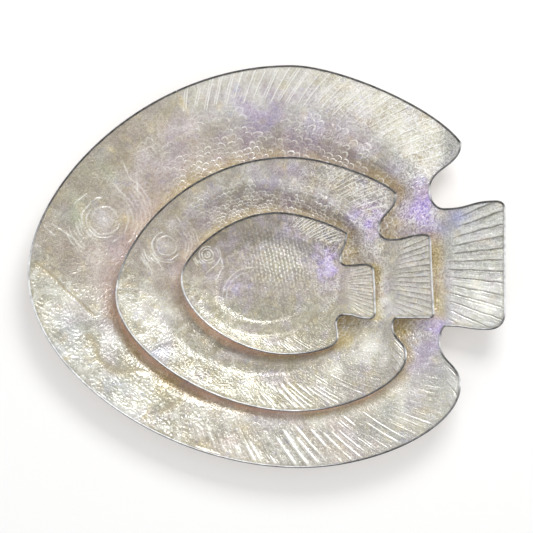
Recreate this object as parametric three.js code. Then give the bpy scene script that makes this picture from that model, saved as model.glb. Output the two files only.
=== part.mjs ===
import * as THREE from 'three';
import { mergeVertices } from 'three/addons/utils/BufferGeometryUtils.js';

// A nest of three fish-shaped serving dishes pressed from mother-of-pearl shell.
// Each dish is a back ply, a mosaic of face panes glued over it, and lengths of
// silver strip folded over the edge. Millimetres, +Z up, +X towards the tails,
// +Y towards the dorsal fins, origin under the middle of the largest dish.

// Laminate of every dish, measured straight up through the shell
const BACK_PLY = 1.4;
const GLUE_LINE = 0.3;
const FACE_PLY = 0.9;
const SEAM = 0.4;

// Strip folded over the edge of every dish
const STRIP_SHEET = 0.5;
const STRIP_LIP = 1.8;
const STRIP_FIT = 0.3;
const BUTT_JOINT = 0.4;

// Gap kept between a dish and the one that it stands in
const NEST_CLEARANCE = 0.3;

// Rings of facets up the wall and across the brim, and the least share of the way
// to the rim that each ring keeps from the next
const WALL_RINGS = 3;
const BRIM_RINGS = 2;
const RINGS = WALL_RINGS + BRIM_RINGS;
const RING_SHARE = 0.02;

// Fewest facets on one stretch of the outline
const LEAST_STEPS = 3;

// Fullness that makes a right-angled turn of the outline a quarter of an ellipse
const ELLIPSE_FULLNESS = 0.55;

// Two points of the rim closer than this angle, in radians, are one
const ANGLE_SLACK = 1e-4;

// Finishes of shell and strip
const PANE_FINISHES = [
  { color: 0xd9d0c4, roughness: 0.3, metalness: 0.1 },
  { color: 0xcfc3cd, roughness: 0.3, metalness: 0.1 },
  { color: 0xdcd3b8, roughness: 0.3, metalness: 0.1 },
  { color: 0xc9bbb4, roughness: 0.3, metalness: 0.1 },
];
const BACK_FINISH = { color: 0xb8a48c, roughness: 0.5, metalness: 0 };
const STRIP_FINISH = { color: 0xb9b9b6, roughness: 0.25, metalness: 1 };

// Sizes of one dish are taken from the middle of its well: reach and at are along X,
// rise, drop and span are along Y. Angles are in degrees, anticlockwise from +X.
// step is the length of a facet along the rim. lead is how far a stretch of the
// outline runs on before it bends away. A fullness says how far a right-angled turn
// bulges towards its corner. Each pane or strip runs up to the angle beside its name,
// and 'notch' stands for the angle of the notch between tail and fin.
const LARGE = {
  name: 'large',
  step: 20,
  floor: { reach: 92, span: 84 },
  well: { reach: 144, span: 121, depth: 18 },
  brimSlope: 0.22,
  tail: { reach: 193.6, rise: 51.3, drop: 50.5, lean: 0, upperRound: 7, lowerRound: 14 },
  upperRoot: { reach: 146.1, rise: 45.3 },
  upperNotch: { reach: 134.1, rise: 60.7 },
  dorsalTip: { reach: 158.6, rise: 97.6, sweep: 125, lead: 35 },
  back: { at: 23, rise: 159.4, lead: 38 },
  nose: { reach: 186, drop: 6.6 },
  belly: { at: 30, drop: 160.7 },
  analTip: { reach: 158.1, drop: 95 },
  lowerNotch: { reach: 142.3, drop: 61.2 },
  lowerRoot: { reach: 147.7, drop: 47.9 },
  browFullness: { back: 0.56, nose: 0.42 },
  chinFullness: { nose: 0.5, belly: 0.5 },
  ventFullness: { belly: 0.5, tip: 0.5 },
  panes: {
    tail: 'notch',
    dorsal_rear: 70,
    dorsal_front: 116,
    nape: 143,
    cheek: 180,
    mouth: 205,
    throat: 232,
    belly_front: 268,
    belly_rear: 306,
    anal_fin: 'notch',
  },
  strips: { tail: 'notch', dorsal: 116, brow: 186, belly: 'notch' },
};

const MEDIUM = {
  name: 'medium',
  step: 17,
  floor: { reach: 68, span: 52 },
  well: { reach: 93, span: 77.5, depth: 15 },
  brimSlope: 0.3,
  tail: { reach: 133.6, rise: 35.7, drop: 30.1, lean: 2.6, upperRound: 4.5, lowerRound: 3.5 },
  upperRoot: { reach: 100.3, rise: 31.9 },
  upperNotch: { reach: 90.4, rise: 39.1 },
  dorsalTip: { reach: 103.8, rise: 68.4, sweep: 126, lead: 12 },
  back: { at: 19, rise: 97.6, lead: 30 },
  nose: { reach: 119.3, drop: 12 },
  belly: { at: 23, drop: 104.6 },
  analTip: { reach: 111.8, drop: 59.9 },
  lowerNotch: { reach: 101.1, drop: 37.1 },
  lowerRoot: { reach: 104.6, drop: 30.3 },
  browFullness: { back: 0.62, nose: 0.35 },
  chinFullness: { nose: 0.46, belly: 0.47 },
  ventFullness: { belly: 0.53, tip: 0.45 },
  panes: {
    tail: 'notch',
    dorsal: 80,
    nape: 128,
    cheek: 185,
    chin: 228,
    belly: 285,
    anal_fin: 'notch',
  },
  strips: { tail: 'notch', back: 163, belly: 'notch' },
};

const SMALL = {
  name: 'small',
  step: 13,
  floor: { reach: 38, span: 29 },
  well: { reach: 56, span: 42.5, depth: 9 },
  brimSlope: 0.3,
  tail: { reach: 87.2, rise: 14.8, drop: 28.1, lean: 1.2, upperRound: 6.5, lowerRound: 5 },
  upperRoot: { reach: 65.5, rise: 14 },
  upperNotch: { reach: 59.9, rise: 18 },
  dorsalTip: { reach: 64.5, rise: 39.6, sweep: 143, lead: 10 },
  back: { at: 9, rise: 56.3, lead: 20 },
  nose: { reach: 67.4, drop: -3.6 },
  belly: { at: 16, drop: 56.6 },
  analTip: { reach: 57.4, drop: 43.3 },
  lowerNotch: { reach: 56.3, drop: 31.5 },
  lowerRoot: { reach: 63.1, drop: 25.1 },
  browFullness: { back: 0.52, nose: 0.35 },
  chinFullness: { nose: 0.49, belly: 0.45 },
  ventFullness: { belly: 0.53, tip: 0.6 },
  panes: { tail: 'notch', dorsal: 105, head: 222, belly: 'notch' },
  strips: { tail: 'notch', back: 178, belly: 'notch' },
};

// Where each inner dish stands: its well's middle from the well's middle below it
const MEDIUM_SHIFT = { x: 3.2, y: -11.2 };
const SMALL_SHIFT = { x: 0, y: -2.8 };

const SHELL = BACK_PLY + GLUE_LINE + FACE_PLY;
const STRIP_STAND_OFF = STRIP_FIT + STRIP_SHEET;

// Outline of the fish, anticlockwise from the middle of the tail's end
function fishOutline(dish) {
  const { tail, upperRoot, upperNotch, dorsalTip, back } = dish;
  const { nose, belly, analTip, lowerNotch, lowerRoot } = dish;
  const path = new THREE.Path();
  const tailTop = tail.reach - tail.lean;

  // Curve that leaves the last point and meets the next one both along X or along Y
  const swing = (x, y, alongX) => {
    const from = path.currentPoint.clone();
    const midX = (from.x + x) / 2;
    const midY = (from.y + y) / 2;
    if (alongX) {
      path.bezierCurveTo(midX, from.y, midX, y, x, y);
    } else {
      path.bezierCurveTo(from.x, midY, x, midY, x, y);
    }
  };

  // Curve that turns a right angle, leaving the last point along X or along Y
  const turn = (x, y, alongX, leaving, meeting) => {
    const from = path.currentPoint.clone();
    const run = x - from.x;
    const climb = y - from.y;
    if (alongX) {
      path.bezierCurveTo(from.x + leaving * run, from.y, x, y - meeting * climb, x, y);
    } else {
      path.bezierCurveTo(from.x, from.y + leaving * climb, x - meeting * run, y, x, y);
    }
  };

  path.moveTo(tail.reach - tail.lean / 2, 0);
  path.lineTo(tailTop, tail.rise - tail.upperRound);
  path.quadraticCurveTo(tailTop, tail.rise, tailTop - tail.upperRound, tail.rise);
  swing(upperRoot.reach, upperRoot.rise, true);
  turn(upperNotch.reach, upperNotch.rise, true, ELLIPSE_FULLNESS, ELLIPSE_FULLNESS);
  swing(dorsalTip.reach, dorsalTip.rise, false);
  const sweep = THREE.MathUtils.degToRad(dorsalTip.sweep);
  path.bezierCurveTo(
    dorsalTip.reach + dorsalTip.lead * Math.cos(sweep),
    dorsalTip.rise + dorsalTip.lead * Math.sin(sweep),
    back.at + back.lead,
    back.rise,
    back.at,
    back.rise,
  );
  turn(-nose.reach, -nose.drop, true, dish.browFullness.back, dish.browFullness.nose);
  turn(belly.at, -belly.drop, false, dish.chinFullness.nose, dish.chinFullness.belly);
  turn(analTip.reach, -analTip.drop, true, dish.ventFullness.belly, dish.ventFullness.tip);
  swing(lowerNotch.reach, -lowerNotch.drop, false);
  turn(lowerRoot.reach, -lowerRoot.drop, false, ELLIPSE_FULLNESS, ELLIPSE_FULLNESS);
  swing(tail.reach - tail.lowerRound, -tail.drop, true);
  path.quadraticCurveTo(tail.reach, -tail.drop, tail.reach, -tail.drop + tail.lowerRound);
  path.lineTo(tail.reach - tail.lean / 2, 0);
  return path;
}

// Angle of a point around the well, from 0 up to a full turn
function turnOf(x, y) {
  const angle = Math.atan2(y, x);
  return angle < 0 ? angle + 2 * Math.PI : angle;
}

// Angle in radians of each name in a list of pane or strip ends
function endAngles(dish, ends) {
  const upper = turnOf(dish.upperNotch.reach, dish.upperNotch.rise);
  const lower = turnOf(dish.lowerNotch.reach, -dish.lowerNotch.drop);
  let start = lower - 2 * Math.PI;
  return Object.entries(ends).map(([name, end]) => {
    const notch = start < 0 ? upper : lower;
    const stop = end === 'notch' ? notch : THREE.MathUtils.degToRad(end);
    const stretch = { name, start, stop };
    start = stop;
    return stretch;
  });
}

// Place where a ray from the middle of the well crosses the rim, and the station after it
function rimCrossing(stations, angle) {
  const next = stations.findIndex((station) => station.angle > angle);
  const after = next < 0 ? stations.length : next;
  const from = stations[after - 1];
  const to = stations[after % stations.length];
  const side = (point) => point.y * Math.cos(angle) - point.x * Math.sin(angle);
  const share = side(from) / (side(from) - side(to));
  const x = from.x + share * (to.x - from.x);
  const y = from.y + share * (to.y - from.y);
  return { after, x, y };
}

// Points along the rim, with a point at every end of a pane or strip
function rimStations(dish) {
  const stations = [];
  for (const curve of fishOutline(dish).curves) {
    const steps = Math.max(LEAST_STEPS, Math.round(curve.getLength() / dish.step));
    for (const { x, y } of curve.getPoints(steps).slice(0, steps)) {
      stations.push({ x, y, angle: turnOf(x, y) });
    }
  }
  for (const { stop } of [...endAngles(dish, dish.panes), ...endAngles(dish, dish.strips)]) {
    if (stations.every((station) => Math.abs(station.angle - stop) > ANGLE_SLACK)) {
      const { after, x, y } = rimCrossing(stations, stop);
      stations.splice(after, 0, { x, y, angle: stop });
    }
  }
  return stations;
}

// Stations from one angle to another, which may pass through the start of the turn
function stationsBetween(stations, start, stop) {
  const turns = [-2 * Math.PI, 0];
  const unrolled = turns.flatMap((turn) => stations.map((s) => ({ ...s, angle: s.angle + turn })));
  return unrolled.filter((s) => s.angle > start - ANGLE_SLACK && s.angle < stop + ANGLE_SLACK);
}

function ellipseRadius(ellipse, angle) {
  return 1 / Math.hypot(Math.cos(angle) / ellipse.reach, Math.sin(angle) / ellipse.span);
}

// Height of a dish's underside: flat floor, curved wall, then a brim of even slope
function undersideAt(dish, x, y) {
  const angle = Math.atan2(y, x);
  const radius = Math.hypot(x, y);
  const floorEdge = ellipseRadius(dish.floor, angle);
  const wellEdge = ellipseRadius(dish.well, angle);
  const climb = THREE.MathUtils.smoothstep(radius, floorEdge, wellEdge);
  return climb * (dish.well.depth + dish.brimSlope * (radius - wellEdge));
}

// Distances from the middle of the well at which the rings cross a station's ray.
// A ring keeps its share from the rim, so that a wide well stays inside a notch.
function ringRadii(dish, station) {
  const rim = Math.hypot(station.x, station.y);
  const floorEdge = ellipseRadius(dish.floor, station.angle);
  const wellEdge = ellipseRadius(dish.well, station.angle);
  const radii = [];
  for (let k = 0; k <= RINGS; k += 1) {
    const wall = floorEdge + (k / WALL_RINGS) * (wellEdge - floorEdge);
    const brim = wellEdge + ((k - WALL_RINGS) / BRIM_RINGS) * (rim - wellEdge);
    const widest = rim * (1 - (RINGS - k) * RING_SHARE);
    radii.push(Math.min(k <= WALL_RINGS ? wall : brim, widest));
  }
  return radii;
}

// Point on the sheet that lies a given height above a dish's underside
function onSheet(dish, x, y, height) {
  return new THREE.Vector3(x, y, undersideAt(dish, x, y) + height);
}

// Split a facet of three or four corners into triangles, turned over if need be
function addFacet(triangles, corners, turnedOver) {
  for (let k = 1; k + 1 < corners.length; k += 1) {
    const triangle = [corners[0], corners[k], corners[k + 1]];
    if (turnedOver) triangle.reverse();
    triangles.push(...triangle);
  }
}

// Cover rows of points that lie one outside the other; a single point makes a fan
function addSheet(triangles, rows, wraps, turnedOver) {
  for (let k = 0; k + 1 < rows.length; k += 1) {
    const inner = rows[k];
    const outer = rows[k + 1];
    const spans = wraps ? outer.length : outer.length - 1;
    for (let i = 0; i < spans; i += 1) {
      const j = (i + 1) % outer.length;
      const fan = [inner[0], outer[i], outer[j]];
      const facet = [inner[i], outer[i], outer[j], inner[j]];
      addFacet(triangles, inner.length === 1 ? fan : facet, turnedOver);
    }
  }
}

// Close the edge between two sheets
function addWall(triangles, lower, upper, wraps, turnedOver) {
  const spans = wraps ? lower.length : lower.length - 1;
  for (let i = 0; i < spans; i += 1) {
    const j = (i + 1) % lower.length;
    addFacet(triangles, [lower[i], lower[j], upper[j], upper[i]], turnedOver);
  }
}

function solidFrom(triangles) {
  return mergeVertices(new THREE.BufferGeometry().setFromPoints(triangles));
}

// Closed disc between two sheets whose first row is a single point
function discSolid(lower, upper) {
  const triangles = [];
  addSheet(triangles, upper, true, false);
  addSheet(triangles, lower, true, true);
  addWall(triangles, lower.at(-1), upper.at(-1), true, false);
  return solidFrom(triangles);
}

// Closed patch between two sheets with four edges
function patchSolid(lower, upper) {
  const triangles = [];
  const column = (rows, index) => rows.map((row) => row.at(index));
  addSheet(triangles, upper, false, false);
  addSheet(triangles, lower, false, true);
  addWall(triangles, lower.at(-1), upper.at(-1), false, false);
  addWall(triangles, lower[0], upper[0], false, true);
  addWall(triangles, column(lower, 0), column(upper, 0), false, false);
  addWall(triangles, column(lower, -1), column(upper, -1), false, true);
  return solidFrom(triangles);
}

function makeMesh(name, geometry, finish) {
  const mesh = new THREE.Mesh(geometry, new THREE.MeshStandardMaterial(finish));
  mesh.name = name;
  return mesh;
}

// Back ply: one pressed sheet of shell under the whole dish
function makeBackPly(dish, stations) {
  const sheet = (height) => {
    const rows = [[onSheet(dish, 0, 0, height)]];
    for (let k = 0; k <= RINGS; k += 1) {
      rows.push(stations.map((station) => {
        const radius = ringRadii(dish, station)[k];
        const x = radius * Math.cos(station.angle);
        const y = radius * Math.sin(station.angle);
        return onSheet(dish, x, y, height);
      }));
    }
    return rows;
  };
  return makeMesh(`${dish.name}_back_ply`, discSolid(sheet(0), sheet(BACK_PLY)), BACK_FINISH);
}

// Face pane of the floor: an oval inside the floor's edge
function makeFloorPane(dish, stations) {
  const sheet = (height) => {
    const edge = stations.map(({ angle }) => {
      const radius = ellipseRadius(dish.floor, angle) - SEAM / 2;
      return onSheet(dish, radius * Math.cos(angle), radius * Math.sin(angle), height);
    });
    return [[onSheet(dish, 0, 0, height)], edge];
  };
  const geometry = discSolid(sheet(BACK_PLY + GLUE_LINE), sheet(SHELL));
  return makeMesh(`${dish.name}_pane_floor`, geometry, PANE_FINISHES[0]);
}

// Face pane of the wall and brim between two seams that run out to the rim
function makeSectorPane(dish, stations, stretch, finish) {
  const members = stationsBetween(stations, stretch.start, stretch.stop);
  const last = members.length - 1;
  const aside = members.map((_, i) => (i === 0 ? SEAM / 2 : 0) - (i === last ? SEAM / 2 : 0));
  const sheet = (height) => {
    const rows = [];
    for (let k = 0; k <= RINGS; k += 1) {
      rows.push(members.map((station, i) => {
        const cos = Math.cos(station.angle);
        const sin = Math.sin(station.angle);
        const radius = ringRadii(dish, station)[k] + (k === 0 ? SEAM / 2 : 0);
        return onSheet(dish, radius * cos - aside[i] * sin, radius * sin + aside[i] * cos, height);
      }));
    }
    return rows;
  };
  const geometry = patchSolid(sheet(BACK_PLY + GLUE_LINE), sheet(SHELL));
  return makeMesh(`${dish.name}_pane_${stretch.name}`, geometry, finish);
}

// Direction along the rim and square out from it at each station, with the outward
// one lengthened at a corner so that the strip keeps its width there
function rimDirections(stations) {
  const count = stations.length;
  return stations.map((station, i) => {
    const before = stations[(i + count - 1) % count];
    const after = stations[(i + 1) % count];
    const arriving = new THREE.Vector2(station.x - before.x, station.y - before.y).normalize();
    const leaving = new THREE.Vector2(after.x - station.x, after.y - station.y).normalize();
    const along = arriving.clone().add(leaving).normalize();
    const out = new THREE.Vector2(along.y, -along.x).divideScalar(along.dot(leaving));
    return { ...station, along, out };
  });
}

// Section of the strip at one station: a channel that opens towards the dish
function stripSection(dish, station, shift) {
  const at = (outward, level, height) => {
    const x = station.x + outward * station.out.x;
    const y = station.y + outward * station.out.y;
    const point = onSheet(dish, x, y, level + height);
    point.x += shift * station.along.x;
    point.y += shift * station.along.y;
    return point;
  };
  return [
    at(-STRIP_LIP, SHELL, STRIP_STAND_OFF),
    at(STRIP_STAND_OFF, SHELL, STRIP_STAND_OFF),
    at(STRIP_STAND_OFF, 0, -STRIP_STAND_OFF),
    at(-STRIP_LIP, 0, -STRIP_STAND_OFF),
    at(-STRIP_LIP, 0, -STRIP_FIT),
    at(STRIP_FIT, 0, -STRIP_FIT),
    at(STRIP_FIT, SHELL, STRIP_FIT),
    at(-STRIP_LIP, SHELL, STRIP_FIT),
  ];
}

// One length of strip between two butt joints
function makeStrip(dish, stations, stretch) {
  const members = stationsBetween(rimDirections(stations), stretch.start, stretch.stop);
  const last = members.length - 1;
  const sections = members.map((station, i) => {
    const shift = (i === 0 ? BUTT_JOINT / 2 : 0) - (i === last ? BUTT_JOINT / 2 : 0);
    return stripSection(dish, station, shift);
  });
  const triangles = [];
  for (let i = 0; i < last; i += 1) {
    const here = sections[i];
    const next = sections[i + 1];
    here.forEach((corner, e) => {
      const f = (e + 1) % here.length;
      addFacet(triangles, [corner, here[f], next[f], next[e]], false);
    });
  }
  for (const [end, turnedOver] of [[sections[0], true], [sections[last], false]]) {
    addFacet(triangles, [end[0], end[1], end[6], end[7]], turnedOver);
    addFacet(triangles, [end[1], end[2], end[5], end[6]], turnedOver);
    addFacet(triangles, [end[2], end[3], end[4], end[5]], turnedOver);
  }
  return makeMesh(`${dish.name}_strip_${stretch.name}`, solidFrom(triangles), STRIP_FINISH);
}

function makeDish(dish) {
  const stations = rimStations(dish);
  const group = new THREE.Group();
  group.add(makeBackPly(dish, stations), makeFloorPane(dish, stations));
  endAngles(dish, dish.panes).forEach((stretch, i) => {
    const finish = PANE_FINISHES[(i + 1) % PANE_FINISHES.length];
    group.add(makeSectorPane(dish, stations, stretch, finish));
  });
  for (const stretch of endAngles(dish, dish.strips)) {
    group.add(makeStrip(dish, stations, stretch));
  }
  return group;
}

// Height at which one dish comes to rest in another: where the first point of its
// underside or strip would touch the face below, raised by the clearance
function seatHeight(lower, upper, shift) {
  const lowerRim = rimStations(lower);
  let seat = 0;
  for (const station of rimStations(upper)) {
    const radii = ringRadii(upper, station);
    radii.forEach((radius, k) => {
      const x = radius * Math.cos(station.angle);
      const y = radius * Math.sin(station.angle);
      const hang = k === radii.length - 1 ? STRIP_STAND_OFF : 0;
      const below = { x: x + shift.x, y: y + shift.y };
      const rim = rimCrossing(lowerRim, turnOf(below.x, below.y));
      const stripEdge = Math.hypot(rim.x, rim.y) - STRIP_LIP - STRIP_STAND_OFF;
      const overStrip = Math.hypot(below.x, below.y) > stripEdge ? STRIP_STAND_OFF : 0;
      const face = undersideAt(lower, below.x, below.y) + SHELL + overStrip;
      seat = Math.max(seat, face - undersideAt(upper, x, y) + hang);
    });
  }
  return seat + NEST_CLEARANCE;
}

const dishes = new THREE.Group();
const large = makeDish(LARGE);
const medium = makeDish(MEDIUM);
const small = makeDish(SMALL);
medium.position.set(MEDIUM_SHIFT.x, MEDIUM_SHIFT.y, seatHeight(LARGE, MEDIUM, MEDIUM_SHIFT));
small.position.set(SMALL_SHIFT.x, SMALL_SHIFT.y, seatHeight(MEDIUM, SMALL, SMALL_SHIFT));
medium.add(small);
large.add(medium);
dishes.add(large);

// The set stands over the origin by the middle of its box
const middle = new THREE.Box3().setFromObject(large).getCenter(new THREE.Vector3());
large.position.set(-middle.x, -middle.y, 0);

export default dishes;
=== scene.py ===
# %% [markdown]
# # A nest of fish-shaped shell dishes
#
# Three shallow serving dishes stand one in another. Each is pressed from mother-of-pearl: a back
# sheet, a mosaic of thin face panes with an eye, scales and fin rays pressed into them, and a silver
# strip folded over the edge. The CAD model gives every piece its place. Here each piece is modelled
# again with its fine relief and finish. The CAD is in metres, and so is Blender, but the dishes are
# easier to think of in millimetres, so MM turns one into the other.

# %% Load the frame
import math
from types import SimpleNamespace

import bpy
import numpy as np
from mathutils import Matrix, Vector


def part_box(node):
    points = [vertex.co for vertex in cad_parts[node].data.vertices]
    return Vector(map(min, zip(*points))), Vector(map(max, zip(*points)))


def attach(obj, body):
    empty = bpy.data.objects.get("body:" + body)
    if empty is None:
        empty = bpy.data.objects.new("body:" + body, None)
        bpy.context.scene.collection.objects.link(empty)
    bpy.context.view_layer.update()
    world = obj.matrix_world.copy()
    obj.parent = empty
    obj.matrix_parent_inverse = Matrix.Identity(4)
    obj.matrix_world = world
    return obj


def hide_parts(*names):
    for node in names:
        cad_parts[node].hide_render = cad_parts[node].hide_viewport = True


MM = 0.001
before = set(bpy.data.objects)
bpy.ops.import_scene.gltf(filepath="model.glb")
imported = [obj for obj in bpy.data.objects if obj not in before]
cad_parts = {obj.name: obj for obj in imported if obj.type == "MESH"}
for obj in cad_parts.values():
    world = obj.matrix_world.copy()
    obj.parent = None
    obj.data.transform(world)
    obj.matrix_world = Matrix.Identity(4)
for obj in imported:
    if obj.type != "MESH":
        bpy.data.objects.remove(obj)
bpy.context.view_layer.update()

# %% [markdown]
# ## Sizes of the dishes
#
# These are the sizes that the CAD model was built from, measured from the middle of each well: the
# tail is towards +X and the back fin towards +Y. Each row gives the large, the medium and the small
# dish. A point of the plan is written as one complex number, such as 146.1 + 45.3j, because adding,
# turning and measuring points is then one short sum. Each pane and strip runs anticlockwise up to the
# angle beside its name, and the first one starts at the lower notch.

# %% Sizes
DISHES = [SimpleNamespace(name=name) for name in ("large", "medium", "small")]
LARGE, MEDIUM, SMALL = DISHES


def hand_out(table):
    """Gives each dish its own column of a table."""
    for key, values in table.items():
        for dish, value in zip(DISHES, values):
            setattr(dish, key, value)


hand_out({
    "floor": [(92, 84), (68, 52), (38, 29)],
    "well": [(144, 121), (93, 77.5), (56, 42.5)],
    "depth": [18, 15, 9],
    "slope": [0.22, 0.3, 0.3],
    "tail_reach": [193.6, 133.6, 87.2],
    "tail_rise": [51.3, 35.7, 14.8],
    "tail_drop": [50.5, 30.1, 28.1],
    "tail_lean": [0, 2.6, 1.2],
    "tail_rounds": [(7, 14), (4.5, 3.5), (6.5, 5)],
    "upper_root": [146.1 + 45.3j, 100.3 + 31.9j, 65.5 + 14j],
    "upper_notch": [134.1 + 60.7j, 90.4 + 39.1j, 59.9 + 18j],
    "dorsal_tip": [158.6 + 97.6j, 103.8 + 68.4j, 64.5 + 39.6j],
    "sweep": [(125, 35), (126, 12), (143, 10)],
    "back": [23 + 159.4j, 19 + 97.6j, 9 + 56.3j],
    "back_lead": [38, 30, 20],
    "nose": [-186 - 6.6j, -119.3 - 12j, -67.4 + 3.6j],
    "belly": [30 - 160.7j, 23 - 104.6j, 16 - 56.6j],
    "anal_tip": [158.1 - 95j, 111.8 - 59.9j, 57.4 - 43.3j],
    "lower_notch": [142.3 - 61.2j, 101.1 - 37.1j, 56.3 - 31.5j],
    "lower_root": [147.7 - 47.9j, 104.6 - 30.3j, 63.1 - 25.1j],
    "brow": [(0.56, 0.42j), (0.62, 0.35j), (0.52, 0.35j)],
    "chin": [(0.5j, 0.5), (0.46j, 0.47), (0.49j, 0.45)],
    "vent": [(0.5, 0.5j), (0.53, 0.45j), (0.53, 0.6j)],
})
LARGE.panes = {
    "tail": "notch",
    "dorsal_rear": 70,
    "dorsal_front": 116,
    "nape": 143,
    "cheek": 180,
    "mouth": 205,
    "throat": 232,
    "belly_front": 268,
    "belly_rear": 306,
    "anal_fin": "notch",
}
MEDIUM.panes = {
    "tail": "notch",
    "dorsal": 80,
    "nape": 128,
    "cheek": 185,
    "chin": 228,
    "belly": 285,
    "anal_fin": "notch",
}
SMALL.panes = {"tail": "notch", "dorsal": 105, "head": 222, "belly": "notch"}
LARGE.strips = {"tail": "notch", "dorsal": 116, "brow": 186, "belly": "notch"}
MEDIUM.strips = {"tail": "notch", "back": 163, "belly": "notch"}
SMALL.strips = {"tail": "notch", "back": 178, "belly": "notch"}

# Heights through the laminate, the open seam, and the strip's sheet, lip and clearance
BACK_PLY = 1.4
FACE_BOTTOM = 1.7
FACE_TOP = 2.6
SEAM = 0.1
STRIP_SHEET = 0.5
STRIP_SEEN = 0.65
STRIP_FIT = 0.3
print("Panes:", {dish.name: len(dish.panes) + 1 for dish in DISHES})

# %% [markdown]
# ## The outline of a fish
#
# The rim is one closed line of Bezier stretches. It could be drawn as a curve object, but every pane,
# sheet and strip needs to ask it questions, such as how far the rim is in one direction, so it is
# kept as a row of points. The row starts at the lower notch and goes round anticlockwise.

# %% Outline helpers
CURVE_STEPS = 64
HALF = 0.5
ROUND = 0.55
TAIL_CORNERS = (2, 5)


def bend(*handles):
    """Points along one Bezier stretch, without its last point."""
    share = np.arange(CURVE_STEPS) / CURVE_STEPS
    degree = len(handles) - 1
    total = 0
    for k, handle in enumerate(handles):
        total = total + math.comb(degree, k) * share**k * (1 - share) ** (degree - k) * handle
    return total


def stretch(start, end, leaving, meeting):
    """Stretch with two handles: a real share of the run pulls along X, an imaginary one along Y."""
    run = end - start
    first, last = [complex(share.real * run.real, share.imag * run.imag) for share in (leaving, meeting)]
    return bend(start, start + first, end - last, end)


def fish_rim(dish):
    """Closed outline, with the arc length and the angle at each of its points."""
    upper_round, lower_round = dish.tail_rounds
    top = complex(dish.tail_reach - dish.tail_lean, dish.tail_rise)
    foot = complex(dish.tail_reach, -dish.tail_drop)
    tail_middle = dish.tail_reach - dish.tail_lean / 2
    sweep, lead = dish.sweep
    lead_out = lead * np.exp(1j * math.radians(sweep))
    stretches = [
        stretch(dish.lower_notch, dish.lower_root, 1j * ROUND, ROUND),
        stretch(dish.lower_root, foot - lower_round, HALF, HALF),
        bend(foot - lower_round, foot, foot + 1j * lower_round),
        bend(foot + 1j * lower_round, tail_middle),
        bend(tail_middle, top - 1j * upper_round),
        bend(top - 1j * upper_round, top, top - upper_round),
        stretch(top - upper_round, dish.upper_root, HALF, HALF),
        stretch(dish.upper_root, dish.upper_notch, ROUND, 1j * ROUND),
        stretch(dish.upper_notch, dish.dorsal_tip, 1j * HALF, 1j * HALF),
        bend(dish.dorsal_tip, dish.dorsal_tip + lead_out, dish.back + dish.back_lead, dish.back),
        stretch(dish.back, dish.nose, *dish.brow),
        stretch(dish.nose, dish.belly, *dish.chin),
        stretch(dish.belly, dish.anal_tip, *dish.vent),
        stretch(dish.anal_tip, dish.lower_notch, 1j * HALF, 1j * HALF),
    ]
    points = np.concatenate(stretches + [[dish.lower_notch]])
    arc = np.concatenate([[0], np.cumsum(np.abs(np.diff(points)))])
    corners = [arc[corner * CURVE_STEPS + CURVE_STEPS // 2] for corner in TAIL_CORNERS]
    angle = np.unwrap(np.angle(points))
    return SimpleNamespace(points=points, arc=arc, angle=angle, corners=corners)


def rim_point(rim, arc):
    """Points of the rim at given lengths along it."""
    across = np.interp(arc, rim.arc, rim.points.real)
    return across + 1j * np.interp(arc, rim.arc, rim.points.imag)


def rim_reach(rim, turn):
    """Distance from the middle of the well to the rim, at given angles."""
    unrolled = np.where(turn < rim.angle[0], turn + 2 * np.pi, turn)
    return np.abs(rim_point(rim, np.interp(unrolled, rim.angle, rim.arc)))


def stretches_of(dish, ends):
    """Each name with the angles between which it runs."""
    upper = np.angle(dish.upper_notch)
    start = dish.rim.angle[0]
    found = []
    for name, end in ends.items():
        notch = upper if start < 0 else dish.rim.angle[-1]
        stop = notch if end == "notch" else math.radians(end)
        found.append((name, start, stop))
        start = stop
    return found


for dish in DISHES:
    dish.rim = fish_rim(dish)
    low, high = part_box(dish.name + "_back_ply")
    dish.middle = (low.x / MM - dish.nose.real, low.y / MM - dish.belly.imag, low.z / MM)
    print(dish.name, "rim of", round(dish.rim.arc[-1]), "mm, well middle", dish.middle)

# %% [markdown]
# ## The pressed form
#
# Every dish is pressed over the same kind of mould: a flat oval floor, a curved wall, and a brim that
# slopes gently up to the rim. So one sum gives the height of the shell anywhere, and all the layers
# of a dish follow it.

# %% Form helpers
def ellipse_edge(size, angle):
    """Distance from the middle of an ellipse to its edge."""
    return 1 / np.hypot(np.cos(angle) / size[0], np.sin(angle) / size[1])


def ease(value, low, high):
    """Climbs smoothly from 0 at low to 1 at high."""
    share = np.clip((value - low) / (high - low), 0, 1)
    return share * share * (3 - 2 * share)


def fade(value, low, high):
    """Falls smoothly from 1 at low to 0 at high."""
    return 1 - ease(value, low, high)


def underside(dish, spot):
    """Height of the dish's underside above the floor that it stands on."""
    angle = np.angle(spot)
    radius = np.abs(spot)
    well_edge = ellipse_edge(dish.well, angle)
    climb = ease(radius, ellipse_edge(dish.floor, angle), well_edge)
    return climb * (dish.depth + dish.slope * (radius - well_edge))


print("Rim height at the nose:", [round(float(underside(d, d.nose)), 1) for d in DISHES])

# %% [markdown]
# ## Crumple and chance
#
# Shell sheet crumples as it is pressed, and no two scales are alike. Blender's noise textures can
# only bend light on a surface, so the larger crumples are worked out here and pressed into the mesh.
# The numbers come from a hash of whole-number places, so that every run gives the same dish.

# %% Crumple helpers
HASH_COLUMN = 374761393
HASH_ROW = 668265263
HASH_SEED = 144269504
HASH_MIX = 1274126177
HASH_BITS = 0xFFFF


def chance(column, row, seed):
    """A number from 0 to 1 that looks random but belongs to its place."""
    mixed = np.asarray(column).astype(np.int64) * HASH_COLUMN
    mixed = mixed + np.asarray(row).astype(np.int64) * HASH_ROW + seed * HASH_SEED
    mixed = (mixed ^ (mixed >> 13)) * HASH_MIX
    mixed = mixed ^ (mixed >> 16)
    return (mixed & HASH_BITS) / HASH_BITS


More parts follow.
